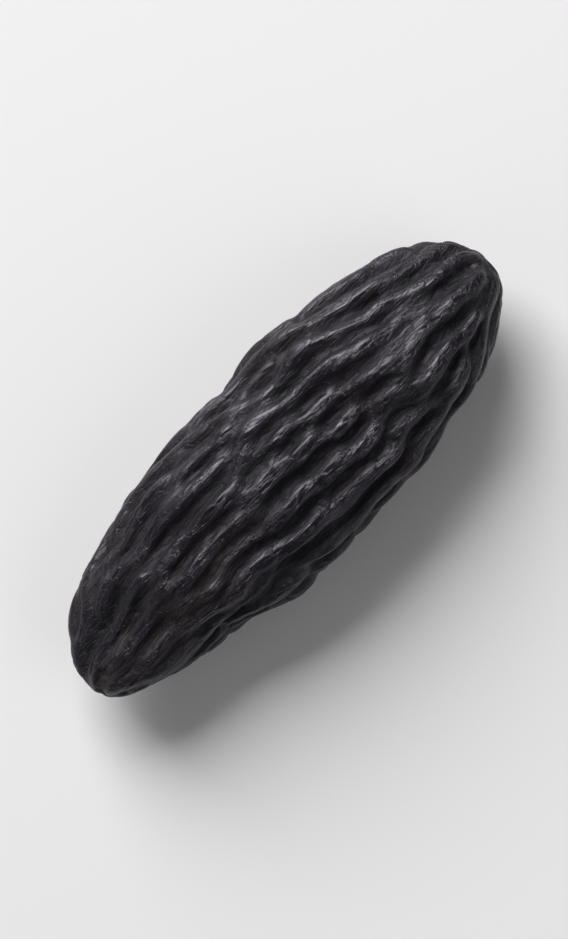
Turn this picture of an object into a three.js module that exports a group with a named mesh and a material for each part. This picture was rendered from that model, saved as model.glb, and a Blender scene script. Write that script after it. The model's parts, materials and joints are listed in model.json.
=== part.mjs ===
// Tonka bean: one dried black seed with a skin shrunk into thick rounded ridges.
// Units are millimetres. +X runs along the bean from its tapered end to its blunt end,
// +Y points to its keeled edge and +Z up. The origin is on the flat spot that it rests on,
// below the middle of its length.
import * as THREE from 'three';
import { mergeVertices } from 'three/addons/utils/BufferGeometryUtils.js';

// Size of the seed, before the ridges are raised on it
const LENGTH = 31.8;
const WIDTH = 10.3;
const THICKNESS = 8;

// Form of the seed: lengthwise profile with a fuller blunt end, taper, sideways bow, keeled edge
const PROFILE_POWER = 2.08;
const PROFILE_LEAN = 0.06;
const TAPER = 0.06;
const BOW = 0.5;
const BOW_CENTRE = 0.4;
const KEEL_HEIGHT = 0.28;
const KEEL_SPREAD = 0.42;
const REST_DEPTH = 0.14;

// Low swellings of the whole seed
const LUMP_HEIGHT = 0.22;
const LUMP_WAVES = { seed: 473, fewest: 1, most: 3, turn: 0.62 };
const SLOW_COUNT = 2;
const SLOW_SPREAD = 1;

// Ridges along the seed, and the wider bundles that they gather in
const RIDGE_HEIGHT = 0.38;
const RIDGE_PITCH = 1.5;
const FEWEST_RIDGES = 2.2;
const RIDGE_WAVES = { seed: 16, fewest: 2, most: 40, turn: 0.85 };
const BUNDLE_PITCH = 2.9;
const FEWEST_BUNDLES = 1.5;
const BUNDLE_SHARE = 0.3;
const BUNDLE_WAVES = { seed: 5, fewest: 1, most: 24, turn: 0.4 };
const PITCH_SPREAD = 0.28;
const RIDGE_STEEPNESS = 0.95;
const RIDGE_FULLNESS = 0.35;
const WAVES_PER_COUNT = 6;
const LEAST_POWER = 1e-12;

// Where the ridges are shallower: up to this share of the half length, and in patches
const SHALLOW_UNTIL = -0.8;
const SHALLOW_END = 0.6;
const PATCH_SHARE = 0.3;
const PATCH_WAVES = { seed: 40, fewest: 1, most: 3, turn: 0.62 };

// Where the relief fades out: share of the girth at the tips, heights above the rest plane
const TIP_FADE = 0.38;
const REST_FADE = 0.8;
const LUMP_FADE = 3;

// Scar of the stalk, low on the keeled edge near the tapered end
const SCAR_X = -10.6;
const SCAR_ANGLE = -0.32;
const SCAR_HALF_LENGTH = 1.5;
const SCAR_HALF_WIDTH = 0.62;
const SCAR_DEPTH = 0.32;
const SCAR_LIP = 0.16;

// Distances from the middle of the scar, as shares of its half width and half length
const SCAR_FLOOR_EDGE = 0.35;
const SCAR_WALL_EDGE = 1.05;
const SCAR_LIP_TOP = 1.25;
const SCAR_LIP_SPREAD = 0.35;
const RIDGES_STOP = 0.9;
const RIDGES_FULL = 2.2;

// Skin and facets
const SKIN_COLOUR = 0x17151a;
const SKIN_ROUGHNESS = 0.42;
const FACET_SPLITS = 23;
const WELD = 1e-5;

const HALF_LENGTH = LENGTH / 2;
const HALF_WIDTH = WIDTH / 2;
const HALF_THICKNESS = THICKNESS / 2;
const MEAN_RADIUS = Math.sqrt((HALF_WIDTH ** 2 + HALF_THICKNESS ** 2) / 2);
const AXIS_HEIGHT = HALF_THICKNESS - REST_DEPTH;

// Repeatable random numbers from 0 to 1: a counter stirred by integer multiplications
function seededDraws(seed) {
  let counter = seed;
  return () => {
    counter = (counter + 0x6D2B79F5) | 0;
    let word = Math.imul(counter ^ (counter >>> 15), counter | 1);
    word ^= word + Math.imul(word ^ (word >>> 7), word | 61);
    return ((word ^ (word >>> 14)) >>> 0) / 4294967296;
  };
}

// Smooth step from 0 at low to 1 at high
function smoothStep(value, low, high) {
  const share = Math.min(Math.max((value - low) / (high - low), 0), 1);
  return share * share * (3 - 2 * share);
}

// A family of waves that run round the seed a whole number of times and slant along it
function drawWaves({ seed, fewest, most, turn }) {
  const draw = seededDraws(seed);
  const waves = [];
  for (let count = fewest; count <= most; count += 1) {
    for (let copy = 0; copy < WAVES_PER_COUNT; copy += 1) {
      const slant = 2 * turn * (draw() + draw() + draw() - 1.5);
      const phase = 2 * Math.PI * draw();
      const strength = 0.5 + draw();
      waves.push({ count, slant, phase, strength });
    }
  }
  return waves;
}

// Sum of the waves whose count suits the wanted number round the seed, scaled to unit spread
function waveSum(waves, x, angle, wantedCount, spread) {
  let total = 0;
  let power = 0;
  for (const { count, slant, phase, strength } of waves) {
    const weight = strength * Math.exp(-((Math.log(wantedCount / count) / spread) ** 2));
    total += weight * Math.cos(count * angle + slant * x + phase);
    power += weight * weight;
  }
  return total / Math.sqrt(power / 2 + LEAST_POWER);
}

const ridgeWaves = drawWaves(RIDGE_WAVES);
const bundleWaves = drawWaves(BUNDLE_WAVES);
const patchWaves = drawWaves(PATCH_WAVES);
const lumpWaves = drawWaves(LUMP_WAVES);

// Swellings and patches have one to three waves round the seed
function slowWaveSum(waves, x, angle) {
  return waveSum(waves, x, angle, SLOW_COUNT, SLOW_SPREAD);
}

// Broad rounded ridges with narrower spindle-shaped troughs between them
function ridgeHeight(x, angle, girthShare) {
  const girth = 2 * Math.PI * MEAN_RADIUS * girthShare;
  const ridgeCount = Math.max(girth / RIDGE_PITCH, FEWEST_RIDGES);
  const bundleCount = Math.max(girth / BUNDLE_PITCH, FEWEST_BUNDLES);
  const ridge = waveSum(ridgeWaves, x, angle, ridgeCount, PITCH_SPREAD);
  const bundle = waveSum(bundleWaves, x, angle, bundleCount, PITCH_SPREAD);
  const swing = (ridge + BUNDLE_SHARE * bundle) / Math.hypot(1, BUNDLE_SHARE);
  const patch = 0.5 + 0.5 * Math.tanh(slowWaveSum(patchWaves, x, angle));
  const fullness = smoothStep(x, SHALLOW_UNTIL * HALF_LENGTH, 0);
  const lengthwise = SHALLOW_END + (1 - SHALLOW_END) * fullness;
  const relief = RIDGE_HEIGHT * lengthwise * (1 - PATCH_SHARE * patch);
  return relief * Math.tanh(RIDGE_STEEPNESS * swing + RIDGE_FULLNESS);
}

// Distance from the middle of the scar, where 1 is its edge
function distanceFromScar(x, angle, girthShare) {
  const across = MEAN_RADIUS * girthShare * (angle - SCAR_ANGLE) / SCAR_HALF_WIDTH;
  const along = (x - SCAR_X) / SCAR_HALF_LENGTH;
  return Math.hypot(across, along);
}

// Oval dimple with a low lip, where the stalk was
function scarHeight(distance) {
  const lip = SCAR_LIP * Math.exp(-(((distance - SCAR_LIP_TOP) / SCAR_LIP_SPREAD) ** 2));
  return lip - SCAR_DEPTH * (1 - smoothStep(distance, SCAR_FLOOR_EDGE, SCAR_WALL_EDGE));
}

// Moves a point of the unit sphere to the skin of the seed
function placeOnSkin(direction) {
  const rim = Math.hypot(direction.y, direction.z);
  const angle = Math.atan2(direction.z, direction.y);
  const power = PROFILE_POWER + PROFILE_LEAN * direction.x;
  const reach = (Math.abs(direction.x) ** power + rim ** power) ** (-1 / power);
  const along = reach * direction.x;
  const girthShare = reach * rim;
  const x = HALF_LENGTH * along;

  const taper = TAPER * along;
  const width = HALF_WIDTH * (1 + taper);
  const thickness = HALF_THICKNESS * (1 + taper);
  const keel = KEEL_HEIGHT * girthShare * Math.exp(-((angle / KEEL_SPREAD) ** 2));
  const y = width * girthShare * Math.cos(angle) + keel + BOW * (BOW_CENTRE - along * along);
  const z = thickness * girthShare * Math.sin(angle) + HALF_THICKNESS * taper + AXIS_HEIGHT;

  const slopeX = Math.sign(along) * Math.abs(along) ** (power - 1) / HALF_LENGTH;
  const slopeRim = girthShare ** (power - 1);
  const outward = new THREE.Vector3(
    slopeX,
    slopeRim * Math.cos(angle) / width,
    slopeRim * Math.sin(angle) / thickness,
  ).normalize();

  const tipFade = smoothStep(girthShare, 0, TIP_FADE);
  const scarDistance = distanceFromScar(x, angle, girthShare);
  const scarClearance = smoothStep(scarDistance, RIDGES_STOP, RIDGES_FULL);
  const ridgeFade = tipFade * smoothStep(z, 0, REST_FADE) * scarClearance;
  const ridges = ridgeFade * ridgeHeight(x, angle, girthShare);
  const lumpFade = tipFade * smoothStep(z, 0, LUMP_FADE);
  const lumps = lumpFade * LUMP_HEIGHT * slowWaveSum(lumpWaves, x, angle);
  const raised = ridges + lumps + scarHeight(scarDistance);
  const point = new THREE.Vector3(x, y, Math.max(z, 0)).addScaledVector(outward, raised);
  point.z = Math.max(point.z, 0);
  return point;
}

// The seed: a finely split twenty-sided ball pulled out to the skin
function buildBean() {
  const ball = new THREE.IcosahedronGeometry(1, FACET_SPLITS);
  ball.deleteAttribute('normal');
  ball.deleteAttribute('uv');
  const geometry = mergeVertices(ball, WELD);
  const positions = geometry.getAttribute('position');
  const direction = new THREE.Vector3();
  for (let index = 0; index < positions.count; index += 1) {
    direction.fromBufferAttribute(positions, index).normalize();
    const point = placeOnSkin(direction);
    positions.setXYZ(index, point.x, point.y, point.z);
  }
  geometry.computeVertexNormals();

  const skin = new THREE.MeshStandardMaterial({
    color: SKIN_COLOUR,
    roughness: SKIN_ROUGHNESS,
    metalness: 0,
  });
  const bean = new THREE.Mesh(geometry, skin);
  bean.name = 'tonka_bean';
  return bean;
}

const object = new THREE.Group();
object.name = 'tonka_bean_part';
object.add(buildBean());

export default object;
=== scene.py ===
"""Tonka bean: one dried black seed with thick rounded ridges, on a plain pale floor.

The skin is one closed mesh, worked out with the same formula as the solid it stands for,
on facets a quarter as long, with fine creases added.
"""

import json
import math

import bmesh
import bpy
import numpy as np
from mathutils import Matrix, Vector

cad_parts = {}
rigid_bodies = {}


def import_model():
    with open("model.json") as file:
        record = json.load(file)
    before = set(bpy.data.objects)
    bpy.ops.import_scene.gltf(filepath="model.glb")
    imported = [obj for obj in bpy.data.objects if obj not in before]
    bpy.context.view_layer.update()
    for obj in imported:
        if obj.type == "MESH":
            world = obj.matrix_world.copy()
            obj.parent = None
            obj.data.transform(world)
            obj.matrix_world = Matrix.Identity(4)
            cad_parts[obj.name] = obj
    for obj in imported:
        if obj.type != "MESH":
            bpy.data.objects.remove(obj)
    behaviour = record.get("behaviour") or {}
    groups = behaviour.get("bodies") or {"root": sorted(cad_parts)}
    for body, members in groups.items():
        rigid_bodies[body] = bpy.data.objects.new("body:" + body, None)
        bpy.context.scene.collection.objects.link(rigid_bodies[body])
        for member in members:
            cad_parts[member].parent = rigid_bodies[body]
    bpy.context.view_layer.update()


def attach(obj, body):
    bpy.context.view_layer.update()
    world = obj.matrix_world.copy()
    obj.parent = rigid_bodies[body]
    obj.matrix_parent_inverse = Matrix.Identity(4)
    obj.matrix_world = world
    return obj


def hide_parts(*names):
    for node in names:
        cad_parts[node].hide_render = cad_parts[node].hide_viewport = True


bl_info = {
    "name": "Tonka Bean",
    "version": (1, 0, 0),
    "blender": (4, 5, 0),
    "location": "View3D > Sidebar > Tonka Bean",
    "description": "Builds a wrinkled tonka bean and a plain studio round it",
    "category": "Add Mesh",
}

# The new file's own objects go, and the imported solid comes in
for thing in list(bpy.data.objects):
    bpy.data.objects.remove(thing)
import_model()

MM = 0.001

# Waves round the seed: the seed of their draws, the fewest and the most round it, how many
# there are of each count, and the spread of their slants in radians a millimetre
RIDGE_WAVES = (16, 2, 40, 6, 0.85)
BUNDLE_WAVES = (5, 1, 24, 6, 0.4)
PATCH_WAVES = (40, 1, 3, 6, 0.62)
LUMP_WAVES = (473, 1, 3, 6, 0.62)
WRINKLE_WAVES = (91, 5, 66, 4, 1.6)
MEAN_OF_THREE_DRAWS = 1.5
SPREAD_OF_THREE_DRAWS = 0.5
LEAST_STRENGTH = 0.5
LEAST_POWER = 1e-12

# Wanted number of waves round the seed, and how far from it a wave still counts
FEWEST_RIDGES = 2.2
FEWEST_BUNDLES = 1.5
FEWEST_WRINKLES = 5
PITCH_SPREAD = 0.28
WRINKLE_SPREAD = 0.22
SLOW_COUNT = 2
SLOW_SPREAD = 1

# Ridges, and the wider bundles that they gather in
BUNDLE_PITCH = 2.9 * MM
BUNDLE_SHARE = 0.3
RIDGE_STEEPNESS = 0.95
RIDGE_FULLNESS = 0.35

# Where the ridges are shallower: up to this share of the half length, and in patches
SHALLOW_UNTIL = -0.8
SHALLOW_END = 0.6
PATCH_SHARE = 0.3

# Fine wrinkles: how far from zero the wave sum still makes a crease, how much the skin
# bulges between creases, and how much of both is worn off towards the ridge tops
CREASE_WIDTH = 0.45
CREASE_BULGE = 0.4
WORN_TOPS = 0.5
WEAR_STARTS = -0.2
WEAR_FULL = 0.9

# Form of the seed, and where its relief fades out: share of the girth, heights over the floor
KEEL_SPREAD = 0.42
BOW_CENTRE = 0.4
TIP_FADE = 0.38
REST_FADE = 0.8 * MM
LUMP_FADE = 3 * MM

# Scar of the stalk, low on the keeled edge near the tapered end
SCAR_X = -10.6 * MM
SCAR_ANGLE = -0.32
SCAR_HALF_LENGTH = 1.5 * MM
SCAR_HALF_WIDTH = 0.62 * MM
SCAR_DEPTH = 0.32 * MM
SCAR_LIP = 0.16 * MM

# Distances from the middle of the scar, as shares of its half width and half length
SCAR_FLOOR_EDGE = 0.35
SCAR_WALL_EDGE = 1.05
SCAR_LIP_TOP = 1.25
SCAR_LIP_SPREAD = 0.35
RIDGES_STOP = 0.9
RIDGES_FULL = 2.2

# Points of the ball that agree when they are multiplied by this and rounded are one point
WELD_GRID = 1e6

# Noise on the skin: scale per metre, detail, roughness and stretch of its coordinates
TINT_NOISE = (220, 3, 0.5, (0.5, 1, 1))
SPECK_NOISE = (2600, 4, 0.5, (0.4, 1, 1))
HAIR_NOISE = (3400, 3, 0.55, (0.16, 1, 1))
PORE_NOISE = (9000, 2, 0.5, (1, 1, 1))
HAIR_MIDDLE = 0.5

# Masks of the skin: lowest and highest value that goes in, and what the two become
BROWN_FROM_TINT = (0.42, 0.62, 0, 1)
# The next two place the painted highlight on the ridge tops and keep painted shade in the
# creases
TOP_FROM_RELIEF = (0.35, 1, 0, 0.8)
TOP_FROM_WRINKLE = (0.1, 0.7, 0.45, 1)
DUST_FROM_SPECK = (0.5, 0.75, 0, 0.3)
ROUGHNESS_FROM_RELIEF = (0.3, 0.95, 0.60, 0.27)
ROUGHNESS_FROM_SPECK = (0.3, 0.7, -0.05, 0.09)
CRACKLE_FROM_HAIR = (0, 0.05, 0, 1)
WEAR_FROM_RELIEF = (0.4, 0.95, 1, 0.5)
SCAR_ROUGHNESS = 0.35

# Shares of the height that hair lines, pores and crackle have, and what the height does
HAIR_SHARE = 0.5
PORE_SHARE = 0.25
CRACKLE_SHARE = 0.4
BUMP_STRENGTH = 0.8
BUMP_DEPTH = 0.1 * MM
GLOSS = 0.46
GLOSS_TINT = (0.94, 0.89, 1.0, 1)

# Studio lights: name, metres to the picture's right and up and over the floor, size, watts
LIGHTS = (
    ("Key", -0.25, 0.44, 0.38, 0.46, 6.4),
    ("Fill", 0.30, -0.12, 0.26, 0.34, 0.30),
    ("Rim", -0.30, -0.20, 0.22, 0.26, 0.10),
)
AIR_COLOUR = (0.93, 0.95, 1.0, 1)
AIR_STRENGTH = 0.10
FLOOR_HALF_SIZE = 2
FLOOR_ROUGHNESS = 0.9
SENSOR_WIDTH = 36
NEAREST_SEEN = 0.01


class TonkaBeanSettings(bpy.types.PropertyGroup):
    """Sizes and colours of the seed, and of the studio."""

    length: bpy.props.FloatProperty(
        name="Length", description="Length of the seed before its ridges", default=31.8 * MM,
        min=20 * MM, max=55 * MM, unit="LENGTH", precision=4)
    width: bpy.props.FloatProperty(
        name="Width", description="Width of the seed before its ridges and its keel",
        default=10.3 * MM, min=6 * MM, max=20 * MM, unit="LENGTH", precision=4)
    thickness: bpy.props.FloatProperty(
        name="Thickness", description="Height of the lying seed before its ridges",
        default=8 * MM, min=4 * MM, max=15 * MM, unit="LENGTH", precision=4)
    profile_power: bpy.props.FloatProperty(
        name="End fullness", description="Power of the lengthwise profile: 2 is an ellipse",
        default=2.08, min=1.5, max=4)
    profile_lean: bpy.props.FloatProperty(
        name="End difference", description="How much fuller the blunt end is than the middle",
        default=0.06, min=0, max=0.4)
    taper: bpy.props.FloatProperty(
        name="Taper", description="Share by which the seed widens towards its blunt end",
        default=0.06, min=0, max=0.3)
    bow: bpy.props.FloatProperty(
        name="Bow", description="Sideways bend of the seed seen from above", default=0.5 * MM,
        min=0, max=3 * MM, unit="LENGTH", precision=4)
    keel_height: bpy.props.FloatProperty(
        name="Keel height", description="How far the keeled edge stands out",
        default=0.28 * MM, min=0, max=1 * MM, unit="LENGTH", precision=5)
    rest_depth: bpy.props.FloatProperty(
        name="Rest depth", description="How far the lowest part of the belly is flattened",
        default=0.14 * MM, min=0, max=1 * MM, unit="LENGTH", precision=5)
    lump_height: bpy.props.FloatProperty(
        name="Lump height", description="Height of the slow swellings of the whole seed",
        default=0.22 * MM, min=0, max=1 * MM, unit="LENGTH", precision=5)
    ridge_height: bpy.props.FloatProperty(
        name="Ridge height", description="Half the depth from ridge top to trough",
        default=0.38 * MM, min=0, max=1 * MM, unit="LENGTH", precision=5)
    ridge_pitch: bpy.props.FloatProperty(
        name="Ridge pitch", description="Distance between neighbouring ridges",
        default=1.5 * MM, min=0.8 * MM, max=4 * MM, unit="LENGTH", precision=4)
    wrinkle_height: bpy.props.FloatProperty(
        name="Wrinkle height", description="Depth of the fine creases below the skin",
        default=0.08 * MM, min=0, max=0.3 * MM, unit="LENGTH", precision=6)
    wrinkle_pitch: bpy.props.FloatProperty(
        name="Wrinkle pitch", description="Twice the distance between neighbouring fine creases",
        default=1.1 * MM, min=0.4 * MM, max=2 * MM, unit="LENGTH", precision=5)
    facet_splits: bpy.props.IntProperty(
        name="Facet splits",
        description="Parts that each edge of the twenty-sided ball is split in",
        default=96, min=8, max=99)
    black: bpy.props.FloatVectorProperty(
        name="Black", description="Colour of the dried skin",
        default=(0.0030, 0.0028, 0.0036), subtype="COLOR", size=3, min=0, max=1)
    brown: bpy.props.FloatVectorProperty(
        name="Brown", description="Warm tint that patches of the skin have",
        default=(0.0085, 0.0046, 0.0034), subtype="COLOR", size=3, min=0, max=1)
    # Painted highlight: the violet-grey of the ridge tops stands in for light catching them, and
    # the black kept in troughs and creases is painted shade
    ridge_highlight_colour: bpy.props.FloatVectorProperty(
        name="Ridge highlight colour", description="Colour of the rubbed ridge tops",
        default=(0.0075, 0.0063, 0.0100), subtype="COLOR", size=3, min=0, max=1)
    dust_colour: bpy.props.FloatVectorProperty(
        name="Dust colour", description="Colour of the pale specks",
        default=(0.0230, 0.0195, 0.0210), subtype="COLOR", size=3, min=0, max=1)
    scar_colour: bpy.props.FloatVectorProperty(
        name="Scar colour", description="Colour of the scar of the stalk",
        default=(0.080, 0.055, 0.038), subtype="COLOR", size=3, min=0, max=1)
    floor_colour: bpy.props.FloatVectorProperty(
        name="Floor colour", description="Colour of the floor under the seed",
        default=(0.80, 0.79, 0.79), subtype="COLOR", size=3, min=0, max=1)
    roll: bpy.props.FloatProperty(
        name="Camera roll", description="Slope of the seed in the picture",
        default=math.radians(47), subtype="ANGLE", unit="ROTATION")
    lens: bpy.props.FloatProperty(
        name="Lens", description="Focal length of the camera in millimetres", default=180,
        min=20, max=400)
    picture_height: bpy.props.FloatProperty(
        name="Picture height", description="Height of the floor strip that the picture shows",
        default=52 * MM, min=20 * MM, max=1, unit="LENGTH", precision=4)


# Waves


def seeded_draws(seed):
    """Repeatable numbers from 0 to 1: a counter stirred by 32-bit integer multiplications."""
    mask = 0xFFFFFFFF
    step = 0x6D2B79F5
    counter = seed
    while True:
        counter = (counter + step) & mask
        word = ((counter ^ (counter >> 15)) * (counter | 1)) & mask
        word ^= (word + (((word ^ (word >> 7)) * (word | 61)) & mask)) & mask
        yield ((word ^ (word >> 14)) & mask) / (mask + 1)


def draw_waves(seed, fewest, most, copies, turn):
    """Waves that run round the seed a whole number of times and slant along it.

    Each has a count round the seed, a slant in radians a metre, a phase and a strength.
    The slants spread by turn, in radians a millimetre.
    """
    draws = seeded_draws(seed)
    waves = []
    for count in range(fewest, most + 1):
        for _ in range(copies):
            three_draws = next(draws) + next(draws) + next(draws)
            spread = (three_draws - MEAN_OF_THREE_DRAWS) / SPREAD_OF_THREE_DRAWS
            slant = turn / MM * spread
            phase = 2 * math.pi * next(draws)
            waves.append((count, slant, phase, LEAST_STRENGTH + next(draws)))
    return waves


def wave_sum(waves, x, angle, wanted_count, spread):
    """Sum of waves at every point, scaled to unit spread.

    Each wave is the cosine of count times angle plus slant times x plus phase. It is weighted
    by a bell curve of the logarithm of the wanted count over its own, so the pitch stays the
    same where the seed gets thinner.
    """
    total = np.zeros_like(x)
    power = np.zeros_like(x)
    log_wanted = np.log(wanted_count) + np.zeros_like(x)
    for count, slant, phase, strength in waves:
        weight = strength * np.exp(-(((log_wanted - math.log(count)) / spread) ** 2))
        total += weight * np.cos(count * angle + slant * x + phase)
        power += weight * weight
    return total / np.sqrt(power / 2 + LEAST_POWER)


def slow_wave_sum(waves, x, angle):
    """Sum of the few slow waves that patches and swellings are made of."""
    return wave_sum(draw_waves(*waves), x, angle, SLOW_COUNT, SLOW_SPREAD)


def smooth_step(value, low, high):
    """0 below low, 1 above high, and the cubic 3t^2 - 2t^3 in between."""
    share = np.clip((value - low) / (high - low), 0, 1)
    return share * share * (3 - 2 * share)


# Form of the seed


def split_ball(splits):
    """Points and triangles of a twenty-sided ball with each edge split in equal parts.

    Every face gets a triangular grid of weights of its three corners, the sums are scaled
    to unit length, and points that meet at the edges are joined by their rounded place.
    """
    golden = (1 + math.sqrt(5)) / 2
    corners = np.array([
        (-1, golden, 0), (1, golden, 0), (-1, -golden, 0), (1, -golden, 0),
        (0, -1, golden), (0, 1, golden), (0, -1, -golden), (0, 1, -golden),
        (golden, 0, -1), (golden, 0, 1), (-golden, 0, -1), (-golden, 0, 1)])
    faces = np.array([
        (0, 11, 5), (0, 5, 1), (0, 1, 7), (0, 7, 10), (0, 10, 11),
        (1, 5, 9), (5, 11, 4), (11, 10, 2), (10, 7, 6), (7, 1, 8),
        (3, 9, 4), (3, 4, 2), (3, 2, 6), (3, 6, 8), (3, 8, 9),
        (4, 9, 5), (2, 4, 11), (6, 2, 10), (8, 6, 7), (9, 8, 1)])
    first, second = np.meshgrid(np.arange(splits + 1), np.arange(splits + 1), indexing="ij")
    inside = first + second <= splits
    number = np.full(first.shape, -1)
    number[inside] = np.arange(inside.sum())
    i, j = first[inside], second[inside]
    weights = np.stack([splits - i - j, i, j], axis=1) / splits
    points = np.einsum("pc,fcd->fpd", weights, corners[faces]).reshape(-1, 3)
    points /= np.linalg.norm(points, axis=1, keepdims=True)

    lower = i + j < splits
    upper = i + j < splits - 1
    up = np.stack([number[i[lower], j[lower]], number[i[lower] + 1, j[lower]],
                   number[i[lower], j[lower] + 1]], axis=1)
    down = np.stack([number[i[upper] + 1, j[upper]], number[i[upper] + 1, j[upper] + 1],
                     number[i[upper], j[upper] + 1]], axis=1)
    grid = np.concatenate([up, down])
    offsets = np.arange(len(faces)) * inside.sum()
    triangles = (grid[None] + offsets[:, None, None]).reshape(-1, 3)

    keys = np.round(points * WELD_GRID).astype(np.int64)
    _, kept, joined = np.unique(keys, axis=0, return_index=True, return_inverse=True)
    return points[kept], joined.reshape(-1)[triangles]


def ridge_relief(settings, x, angle, girth):
    """Height of the ridges, and their rounded form from -1 in a trough to 1 on a top.

    The form is the hyperbolic tangent of a wave sum and a share of a wider one, shifted so
    that tops are broad and troughs narrow. It is lower towards the tapered end and in patches.
    """
    ridge_count = np.maximum(girth / settings.ridge_pitch, FEWEST_RIDGES)
    ridge = wave_sum(draw_waves(*RIDGE_WAVES), x, angle, ridge_count, PITCH_SPREAD)
    bundle_count = np.maximum(girth / BUNDLE_PITCH, FEWEST_BUNDLES)
    bundle = wave_sum(draw_waves(*BUNDLE_WAVES), x, angle, bundle_count, PITCH_SPREAD)
    swing = (ridge + BUNDLE_SHARE * bundle) / math.hypot(1, BUNDLE_SHARE)
    rounded = np.tanh(RIDGE_STEEPNESS * swing + RIDGE_FULLNESS)
    patch = 0.5 + 0.5 * np.tanh(slow_wave_sum(PATCH_WAVES, x, angle))
    fullness = smooth_step(x, SHALLOW_UNTIL * settings.length / 2, 0)
    lengthwise = SHALLOW_END + (1 - SHALLOW_END) * fullness
    return settings.ridge_height * lengthwise * (1 - PATCH_SHARE * patch) * rounded, rounded


def wrinkle_relief(settings, x, angle, girth, rounded):
    """Height of the fine wrinkles, and their creases from 0 to 1.

    A crease is a bell curve along the lines where a wave sum is zero. It is shallower on the
    ridge tops, and the skin between creases bulges by the wave sum's hyperbolic tangent.
    """
    count = np.maximum(girth / settings.wrinkle_pitch, FEWEST_WRINKLES)
    fine = wave_sum(draw_waves(*WRINKLE_WAVES), x, angle, count, WRINKLE_SPREAD)
    crease = np.exp(-((fine / CREASE_WIDTH) ** 2))
    worn = 1 - WORN_TOPS * smooth_step(rounded, WEAR_STARTS, WEAR_FULL)
    height = settings.wrinkle_height * worn * (CREASE_BULGE * np.tanh(fine) - crease)
    return height, worn * crease


def scar_relief(x, angle, girth_share, mean_radius):
    """Height of the scar, its mask, and the share of the ridges that is left round it.

    The scar is an oval dimple with a bell curve for its lip.
    """
    across = mean_radius * girth_share * (angle - SCAR_ANGLE) / SCAR_HALF_WIDTH
    distance = np.hypot(across, (x - SCAR_X) / SCAR_HALF_LENGTH)
    mask = 1 - smooth_step(distance, SCAR_FLOOR_EDGE, SCAR_WALL_EDGE)
    lip = SCAR_LIP * np.exp(-(((distance - SCAR_LIP_TOP) / SCAR_LIP_SPREAD) ** 2))
    return lip - SCAR_DEPTH * mask, mask, smooth_step(distance, RIDGES_STOP, RIDGES_FULL)


def skin_of_seed(settings, direction):
    """Moves points of the unit ball to the skin, and returns them with their masks.

    Lengthwise the body is a superellipse whose power grows towards the blunt end, and across
    it is an ellipse. The ellipse widens evenly towards the blunt end, the middle line bends
    as a parabola, and a bell curve of the angle raises the keel. Ridges, wrinkles, the scar
    and slow swellings are added along the outward direction of that body. Last, all that
    would be under the floor is pressed flat on it.
    """
    half_length, half_width, half_thickness = (
        size / 2 for size in (settings.length, settings.width, settings.thickness))
    mean_radius = math.sqrt((half_width ** 2 + half_thickness ** 2) / 2)
    power = settings.profile_power + settings.profile_lean * direction[:, 0]
    rim = np.hypot(direction[:, 1], direction[:, 2])
    angle = np.arctan2(direction[:, 2], direction[:, 1])
    reach = (np.abs(direction[:, 0]) ** power + rim ** power) ** (-1 / power)
    along = reach * direction[:, 0]
    girth_share = reach * rim
    girth = 2 * math.pi * mean_radius * girth_share
    x = half_length * along

    taper = settings.taper * along
    width = half_width * (1 + taper)
    thickness = half_thickness * (1 + taper)
    keel = settings.keel_height * girth_share * np.exp(-((angle / KEEL_SPREAD) ** 2))
    bow = settings.bow * (BOW_CENTRE - along * along)
    y = width * girth_share * np.cos(angle) + keel + bow
    middle = half_thickness * taper + half_thickness - settings.rest_depth
    z = thickness * girth_share * np.sin(angle) + middle

    slope_rim = girth_share ** (power - 1)
    outward = np.stack([
        np.sign(along) * np.abs(along) ** (power - 1) / half_length,
        slope_rim * np.cos(angle) / width,
        slope_rim * np.sin(angle) / thickness], axis=1)
    outward /= np.linalg.norm(outward, axis=1, keepdims=True)

    ridges, rounded = ridge_relief(settings, x, angle, girth)
    wrinkles, creases = wrinkle_relief(settings, x, angle, girth, rounded)
    lumps = settings.lump_height * slow_wave_sum(LUMP_WAVES, x, angle)
    scar, scar_mask, clearance = scar_relief(x, angle, girth_share, mean_radius)
    tip_fade = smooth_step(girth_share, 0, TIP_FADE)
    ridge_fade = tip_fade * smooth_step(z, 0, REST_FADE) * clearance
    lump_fade = tip_fade * smooth_step(z, 0, LUMP_FADE)
    raised = ridge_fade * (ridges + wrinkles) + scar + lump_fade * lumps

    points = np.stack([x, y, np.maximum(z, 0)], axis=1) + outward * raised[:, None]
    points[:, 2] = np.maximum(points[:, 2], 0)
    # The material uses the relief and wrinkle masks for roughness and bumps, and also for a
    # painted highlight on ridge tops and painted shade in the creases
    relief = 0.5 + 0.5 * rounded * ridge_fade
    return points, {"relief": relief, "wrinkle": 1 - creases, "scar": scar_mask}


def new_mesh_object(name, points, triangles, masks):
    """A smooth-shaded mesh object made from whole arrays, with its masks as point attributes."""
    mesh = bpy.data.meshes.new(name)
    mesh.vertices.add(len(points))
    mesh.vertices.foreach_set("co", points.astype(np.float32).ravel())
    mesh.loops.add(triangles.size)
    mesh.loops.foreach_set("vertex_index", triangles.astype(np.int32).ravel())
    mesh.polygons.add(len(triangles))
    mesh.polygons.foreach_set("loop_start", np.arange(0, triangles.size, 3, dtype=np.int32))
    mesh.polygons.foreach_set("use_smooth", np.ones(len(triangles), dtype=bool))
    mesh.update(calc_edges=True)
    mesh.validate()
    for mask_name, values in masks.items():
        attribute = mesh.attributes.new(mask_name, "FLOAT", "POINT")
        attribute.data.foreach_set("value", values.astype(np.float32))
    made = bpy.data.objects.new(name, mesh)
    bpy.context.scene.collection.objects.link(made)
    return made


# Materials


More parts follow.
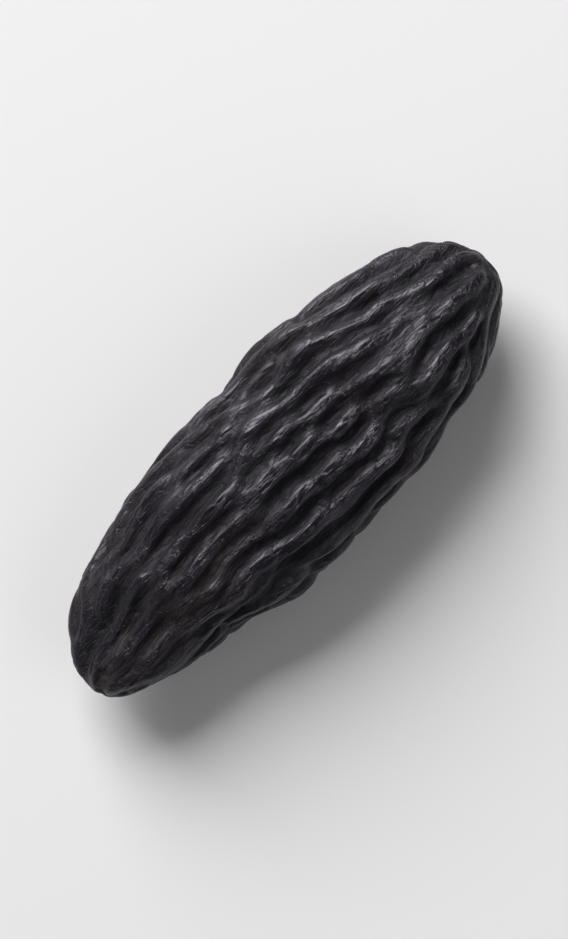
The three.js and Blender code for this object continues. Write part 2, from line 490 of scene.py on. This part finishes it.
def new_noise(tree, vector, scale, detail, roughness, stretch):
    """Noise texture on a stretched copy of the coordinates; returns its value socket."""
    mapping = tree.nodes.new("ShaderNodeMapping")
    mapping.inputs["Scale"].default_value = stretch
    tree.links.new(vector, mapping.inputs["Vector"])
    noise = tree.nodes.new("ShaderNodeTexNoise")
    noise.inputs["Scale"].default_value = scale
    noise.inputs["Detail"].default_value = detail
    noise.inputs["Roughness"].default_value = roughness
    tree.links.new(mapping.outputs["Vector"], noise.inputs["Vector"])
    return noise.outputs["Fac"]


def new_range(tree, value, low, high, to_low, to_high):
    """Maps low..high to to_low..to_high, held at the ends; returns the result socket."""
    node = tree.nodes.new("ShaderNodeMapRange")
    node.inputs["From Min"].default_value = low
    node.inputs["From Max"].default_value = high
    node.inputs["To Min"].default_value = to_low
    node.inputs["To Max"].default_value = to_high
    tree.links.new(value, node.inputs["Value"])
    return node.outputs["Result"]


def new_mix(tree, factor, first, second):
    """Mixes two colours, each a socket or a plain colour; returns the result socket."""
    node = tree.nodes.new("ShaderNodeMix")
    node.data_type = "RGBA"
    tree.links.new(factor, node.inputs["Factor"])
    for name, colour in (("A", first), ("B", second)):
        socket = next(i for i in node.inputs if i.name == name and i.type == "RGBA")
        if isinstance(colour, bpy.types.NodeSocket):
            tree.links.new(colour, socket)
        else:
            socket.default_value = (*colour, 1)
    return next(o for o in node.outputs if o.type == "RGBA")


def new_math(tree, operation, *terms):
    """One step of arithmetic on sockets and numbers; returns the result socket."""
    node = tree.nodes.new("ShaderNodeMath")
    node.operation = operation
    for socket, term in zip(node.inputs, terms):
        if isinstance(term, bpy.types.NodeSocket):
            tree.links.new(term, socket)
        else:
            socket.default_value = term
    return node.outputs["Value"]


def seed_skin_group(settings):
    """Node group: colour, roughness and height of the dried skin, from its masks.

    Colour: slow noise mixes brown into the black, ridge tops get a painted violet-grey highlight
    except in their creases, where the black stays as painted shade, fine noise adds specks of
    dust, and the scar is brown. Roughness: less on ridge tops, uneven with the specks, more on
    the scar. Height: hair noise, pores, and the thin lines where the hair noise is near its
    middle, less on ridge tops.
    """
    group = bpy.data.node_groups.new("Seed skin", "ShaderNodeTree")
    for name, kind in (("Vector", "NodeSocketVector"), ("Relief", "NodeSocketFloat"),
                       ("Wrinkle", "NodeSocketFloat"), ("Scar", "NodeSocketFloat")):
        group.interface.new_socket(name, in_out="INPUT", socket_type=kind)
    for name, kind in (("Color", "NodeSocketColor"), ("Roughness", "NodeSocketFloat"),
                       ("Height", "NodeSocketFloat")):
        group.interface.new_socket(name, in_out="OUTPUT", socket_type=kind)
    start = group.nodes.new("NodeGroupInput").outputs
    end = group.nodes.new("NodeGroupOutput").inputs

    tint = new_noise(group, start["Vector"], *TINT_NOISE)
    speck = new_noise(group, start["Vector"], *SPECK_NOISE)
    hair = new_noise(group, start["Vector"], *HAIR_NOISE)
    pores = new_noise(group, start["Vector"], *PORE_NOISE)

    browned = new_range(group, tint, *BROWN_FROM_TINT)
    dark = new_mix(group, browned, settings.black, settings.brown)
    # Painted highlight on the ridge tops, held back in the creases so that painted shade stays
    # there
    top = new_range(group, start["Relief"], *TOP_FROM_RELIEF)
    between_creases = new_range(group, start["Wrinkle"], *TOP_FROM_WRINKLE)
    lit = new_math(group, "MULTIPLY", top, between_creases)
    raised = new_mix(group, lit, dark, settings.ridge_highlight_colour)
    dust = new_range(group, speck, *DUST_FROM_SPECK)
    dusty = new_mix(group, dust, raised, settings.dust_colour)
    coloured = new_mix(group, start["Scar"], dusty, settings.scar_colour)
    group.links.new(coloured, end["Color"])

    rubbed = new_range(group, start["Relief"], *ROUGHNESS_FROM_RELIEF)
    uneven = new_range(group, speck, *ROUGHNESS_FROM_SPECK)
    rough_scar = new_math(group, "MULTIPLY", start["Scar"], SCAR_ROUGHNESS)
    dry = new_math(group, "ADD", rubbed, uneven)
    group.links.new(new_math(group, "ADD", dry, rough_scar), end["Roughness"])

    off_middle = new_math(group, "ABSOLUTE", new_math(group, "SUBTRACT", hair, HAIR_MIDDLE))
    crackle = new_range(group, off_middle, *CRACKLE_FROM_HAIR)
    height = new_math(group, "MULTIPLY", hair, HAIR_SHARE)
    for texture, share in ((pores, PORE_SHARE), (crackle, CRACKLE_SHARE)):
        height = new_math(group, "ADD", height, new_math(group, "MULTIPLY", texture, share))
    wear = new_range(group, start["Relief"], *WEAR_FROM_RELIEF)
    group.links.new(new_math(group, "MULTIPLY", height, wear), end["Height"])
    return group


def seed_skin_material(settings):
    """Black waxy skin: the skin group drives a shader with a half gloss."""
    material = bpy.data.materials.new("Seed skin")
    material.use_nodes = True
    tree = material.node_tree
    shader = tree.nodes["Principled BSDF"]
    shader.inputs["Specular IOR Level"].default_value = GLOSS
    shader.inputs["Specular Tint"].default_value = GLOSS_TINT

    skin = tree.nodes.new("ShaderNodeGroup")
    skin.node_tree = seed_skin_group(settings)
    place = tree.nodes.new("ShaderNodeTexCoord")
    tree.links.new(place.outputs["Object"], skin.inputs["Vector"])
    for mask_name in ("relief", "wrinkle", "scar"):
        mask = tree.nodes.new("ShaderNodeAttribute")
        mask.attribute_name = mask_name
        tree.links.new(mask.outputs["Fac"], skin.inputs[mask_name.capitalize()])

    bump = tree.nodes.new("ShaderNodeBump")
    bump.inputs["Strength"].default_value = BUMP_STRENGTH
    bump.inputs["Distance"].default_value = BUMP_DEPTH
    tree.links.new(skin.outputs["Height"], bump.inputs["Height"])
    tree.links.new(skin.outputs["Color"], shader.inputs["Base Color"])
    tree.links.new(skin.outputs["Roughness"], shader.inputs["Roughness"])
    tree.links.new(bump.outputs["Normal"], shader.inputs["Normal"])
    return material


def floor_material(colour):
    """Plain matt paint of one colour."""
    material = bpy.data.materials.new("Pale floor")
    material.use_nodes = True
    shader = material.node_tree.nodes["Principled BSDF"]
    shader.inputs["Base Color"].default_value = (*colour, 1)
    shader.inputs["Roughness"].default_value = FLOOR_ROUGHNESS
    return material


# Operators


class TONKA_OT_add_bean(bpy.types.Operator):
    """Add the wrinkled bean in place of its plain solid"""

    bl_idname = "tonka.add_bean"
    bl_label = "Add Tonka Bean"
    bl_options = {"REGISTER", "UNDO"}

    def execute(self, context):
        settings = context.scene.tonka_bean
        direction, triangles = split_ball(settings.facet_splits)
        points, masks = skin_of_seed(settings, direction)
        bean = new_mesh_object("tonka_bean_skin", points, triangles, masks)
        bean.data.materials.append(seed_skin_material(settings))
        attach(bean, "root")
        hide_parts("tonka_bean")
        return {"FINISHED"}


class TONKA_OT_add_studio(bpy.types.Operator):
    """Add the pale floor, the soft lights and the camera that looks straight down"""

    bl_idname = "tonka.add_studio"
    bl_label = "Add Studio"
    bl_options = {"REGISTER", "UNDO"}

    def execute(self, context):
        settings = context.scene.tonka_bean
        right, up = picture_axes(settings.roll)
        self.add_floor(settings.floor_colour)
        for name, to_right, to_top, height, size, power in LIGHTS:
            place = to_top * up + to_right * right + Vector((0, 0, height))
            self.add_light(name, place, size, power)
        world = bpy.data.worlds.new("Studio air")
        world.use_nodes = True
        air = world.node_tree.nodes["Background"].inputs
        air["Color"].default_value = AIR_COLOUR
        air["Strength"].default_value = AIR_STRENGTH
        context.scene.world = world
        context.scene.view_settings.view_transform = "Standard"
        self.add_camera(settings, right, up)
        return {"FINISHED"}

    def add_floor(self, colour):
        """A flat pale sheet under the bean."""
        mesh = bpy.data.meshes.new("floor")
        shape = bmesh.new()
        bmesh.ops.create_grid(shape, x_segments=1, y_segments=1, size=FLOOR_HALF_SIZE)
        shape.to_mesh(mesh)
        shape.free()
        floor = bpy.data.objects.new("floor", mesh)
        floor.data.materials.append(floor_material(colour))
        bpy.context.scene.collection.objects.link(floor)

    def add_light(self, name, place, size, power):
        """A square soft light aimed at the bean."""
        lamp = bpy.data.lights.new(name, "AREA")
        lamp.size = size
        lamp.energy = power
        light = bpy.data.objects.new(name, lamp)
        light.location = place
        light.rotation_mode = "QUATERNION"
        light.rotation_quaternion = place.to_track_quat("Z", "Y")
        light.visible_camera = False
        bpy.context.scene.collection.objects.link(light)

    def add_camera(self, settings, right, up):
        """A camera straight above the bean, turned so that the bean slopes up to the right."""
        camera = bpy.data.cameras.new("Camera")
        camera.lens = settings.lens
        camera.sensor_width = SENSOR_WIDTH
        camera.clip_start = NEAREST_SEEN
        distance = settings.picture_height * settings.lens / SENSOR_WIDTH
        holder = bpy.data.objects.new("Camera", camera)
        turned = Matrix((right, up, Vector((0, 0, 1)))).transposed()
        holder.matrix_world = Matrix.Translation((0, 0, distance)) @ turned.to_4x4()
        bpy.context.scene.collection.objects.link(holder)
        bpy.context.scene.camera = holder


def picture_axes(roll):
    """The picture's right and up directions on the floor, for a seed that slopes by roll."""
    right = Vector((math.cos(roll), -math.sin(roll), 0))
    up = Vector((math.sin(roll), math.cos(roll), 0))
    return right, up


class TONKA_PT_panel(bpy.types.Panel):
    """Sizes, colours and buttons in the 3D view's sidebar"""

    bl_label = "Tonka Bean"
    bl_space_type = "VIEW_3D"
    bl_region_type = "UI"
    bl_category = "Tonka Bean"

    def draw(self, context):
        settings = context.scene.tonka_bean
        for name in TonkaBeanSettings.__annotations__:
            self.layout.prop(settings, name)
        self.layout.operator(TONKA_OT_add_bean.bl_idname)
        self.layout.operator(TONKA_OT_add_studio.bl_idname)


CLASSES = (TonkaBeanSettings, TONKA_OT_add_bean, TONKA_OT_add_studio, TONKA_PT_panel)


def register():
    """Adds the classes and the scene's settings."""
    for cls in CLASSES:
        bpy.utils.register_class(cls)
    bpy.types.Scene.tonka_bean = bpy.props.PointerProperty(type=TonkaBeanSettings)


def unregister():
    """Takes them out again."""
    del bpy.types.Scene.tonka_bean
    for cls in reversed(CLASSES):
        bpy.utils.unregister_class(cls)


def main():
    """Builds the bean and the studio."""
    register()
    bpy.ops.tonka.add_bean()
    bpy.ops.tonka.add_studio()
    bpy.context.view_layer.update()


if __name__ == "__main__":
    main()
